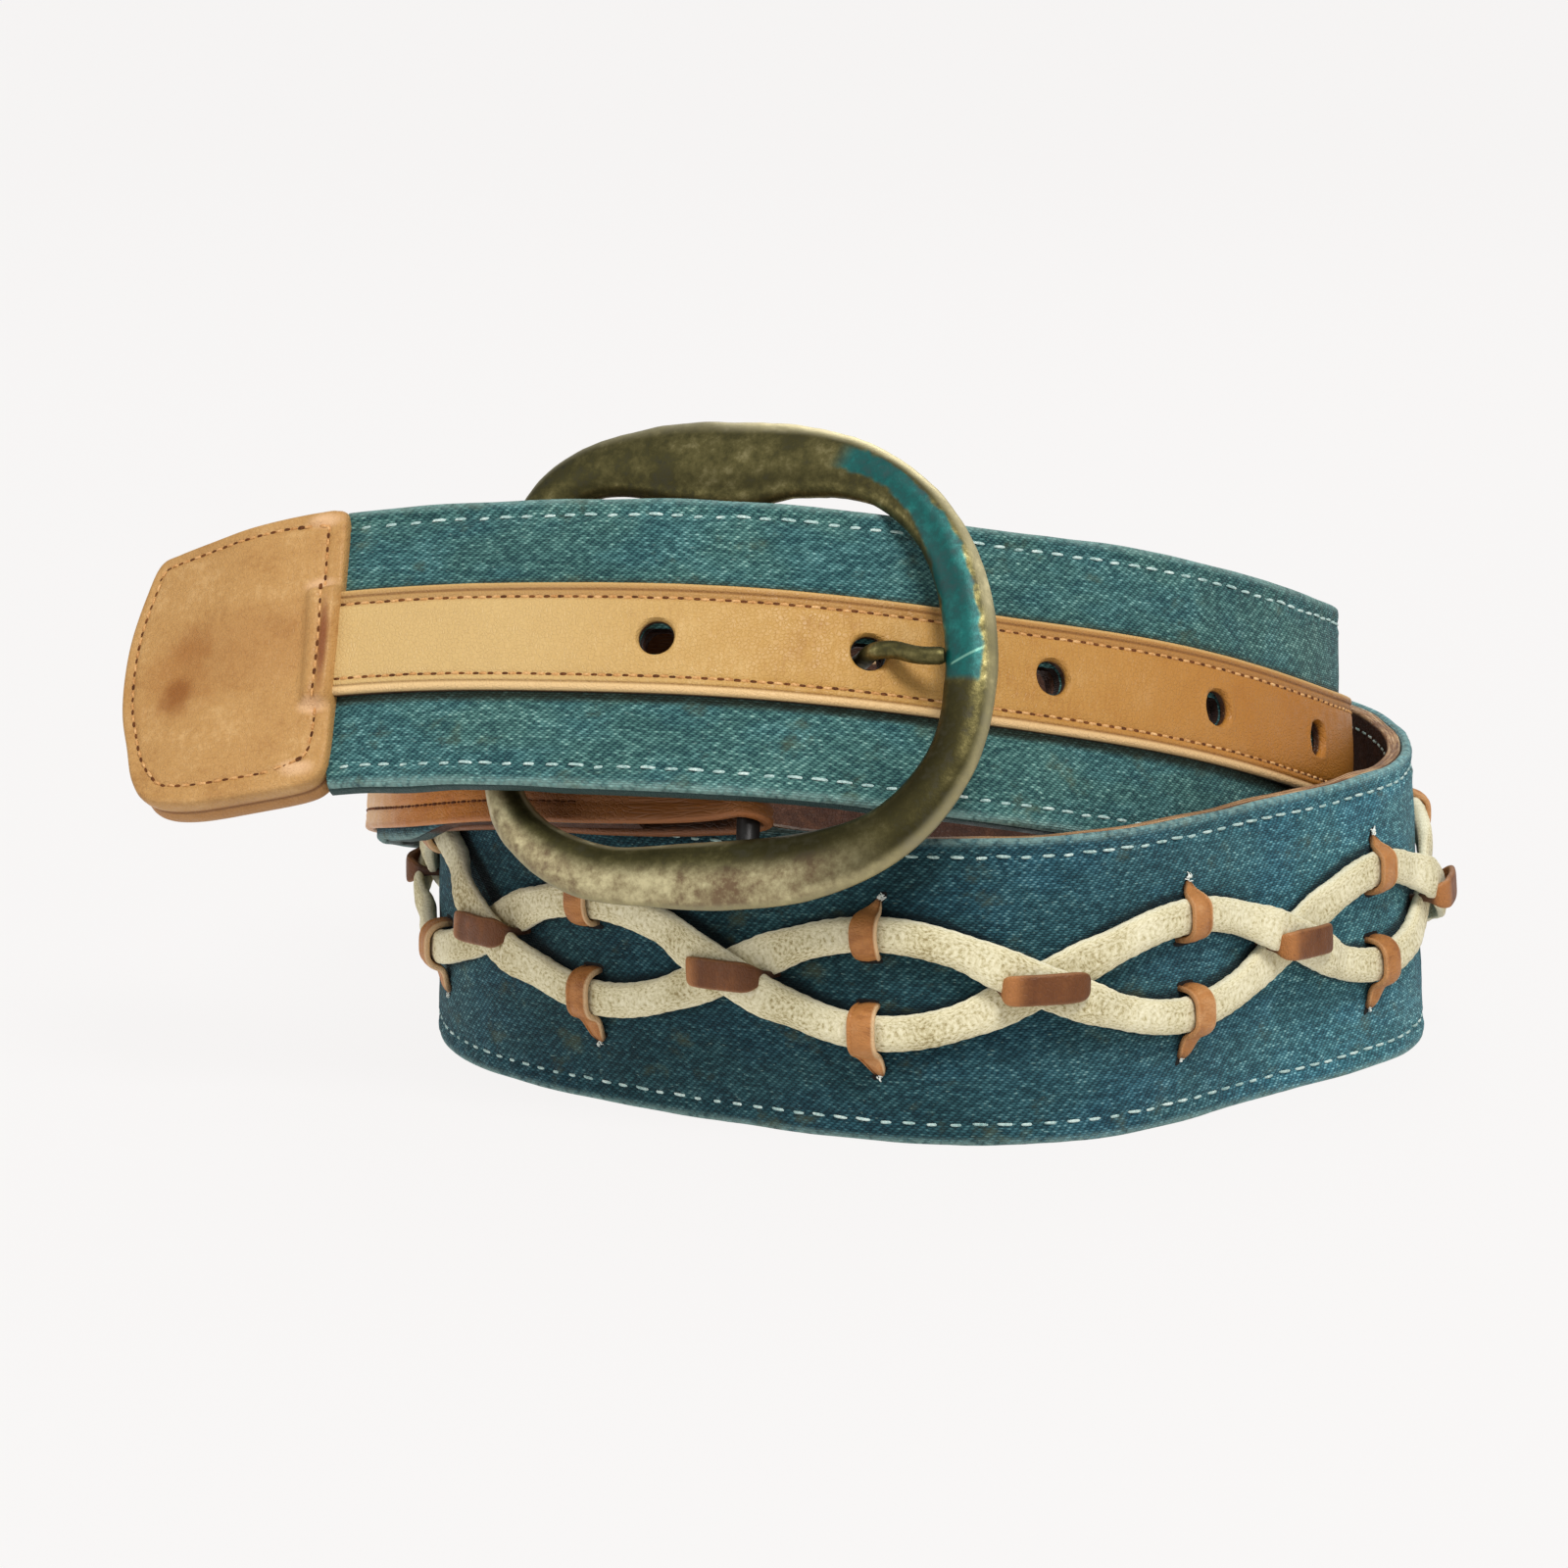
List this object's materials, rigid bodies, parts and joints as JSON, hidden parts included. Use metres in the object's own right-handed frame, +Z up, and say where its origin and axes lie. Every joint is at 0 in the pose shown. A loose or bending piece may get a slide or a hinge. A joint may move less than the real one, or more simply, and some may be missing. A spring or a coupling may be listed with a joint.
{
  "type": "denim and leather belt",
  "caption": "Buckled casual belt, wound up: denim strap with leather lining, punched leather strip, leather tip cap, centre-bar buckle and crossed braided cords under leather keepers.",
  "frame": {"origin": "centre of the bounding box at the floor, under the wound belt", "axes": "+X to the right seen from the buckle side, +Y away from that side, +Z up; the strap stands on its lower edge"},
  "size_m": [0.2041, 0.176, 0.1001],
  "materials": {
    "denim": "worn blue-green twill",
    "lining": "raw tan split leather",
    "strip": "smooth tan leather, waxed",
    "cap": "soft tan leather, aged",
    "chape": "orange-brown leather",
    "keeper": "reddish brown leather",
    "brass": "antique brass with a teal patina patch",
    "cotton": "braided natural cotton"
  },
  "bodies": {
    "root": {"denim_strap": "denim", "leather_lining": "lining", "hole_strip": "strip", "tip_cap": "cap", "chape": "chape", "buckle_frame": "brass", "buckle_prong": "brass", "lacing_cord_a": "cotton", "lacing_cord_b": "cotton", "keeper_centre_01": "keeper", "keeper_centre_02": "keeper", "keeper_centre_03": "keeper", "keeper_centre_04": "keeper", "keeper_centre_05": "keeper", "keeper_centre_06": "keeper", "keeper_centre_07": "keeper", "keeper_centre_08": "keeper", "keeper_centre_09": "keeper", "keeper_centre_10": "keeper", "keeper_centre_11": "keeper", "keeper_centre_12": "keeper", "keeper_centre_13": "keeper", "keeper_centre_14": "keeper", "loop_upper_01": "keeper", "loop_lower_01": "keeper", "loop_upper_02": "keeper", "loop_lower_02": "keeper", "loop_upper_03": "keeper", "loop_lower_03": "keeper", "loop_upper_04": "keeper", "loop_lower_04": "keeper", "loop_upper_05": "keeper", "loop_lower_05": "keeper", "loop_upper_06": "keeper", "loop_lower_06": "keeper", "loop_upper_07": "keeper", "loop_lower_07": "keeper", "loop_upper_08": "keeper", "loop_lower_08": "keeper", "loop_upper_09": "keeper", "loop_lower_09": "keeper", "loop_upper_10": "keeper", "loop_lower_10": "keeper", "loop_upper_11": "keeper", "loop_lower_11": "keeper", "loop_upper_12": "keeper", "loop_lower_12": "keeper", "loop_upper_13": "keeper", "loop_lower_13": "keeper"}
  },
  "joints": []
}
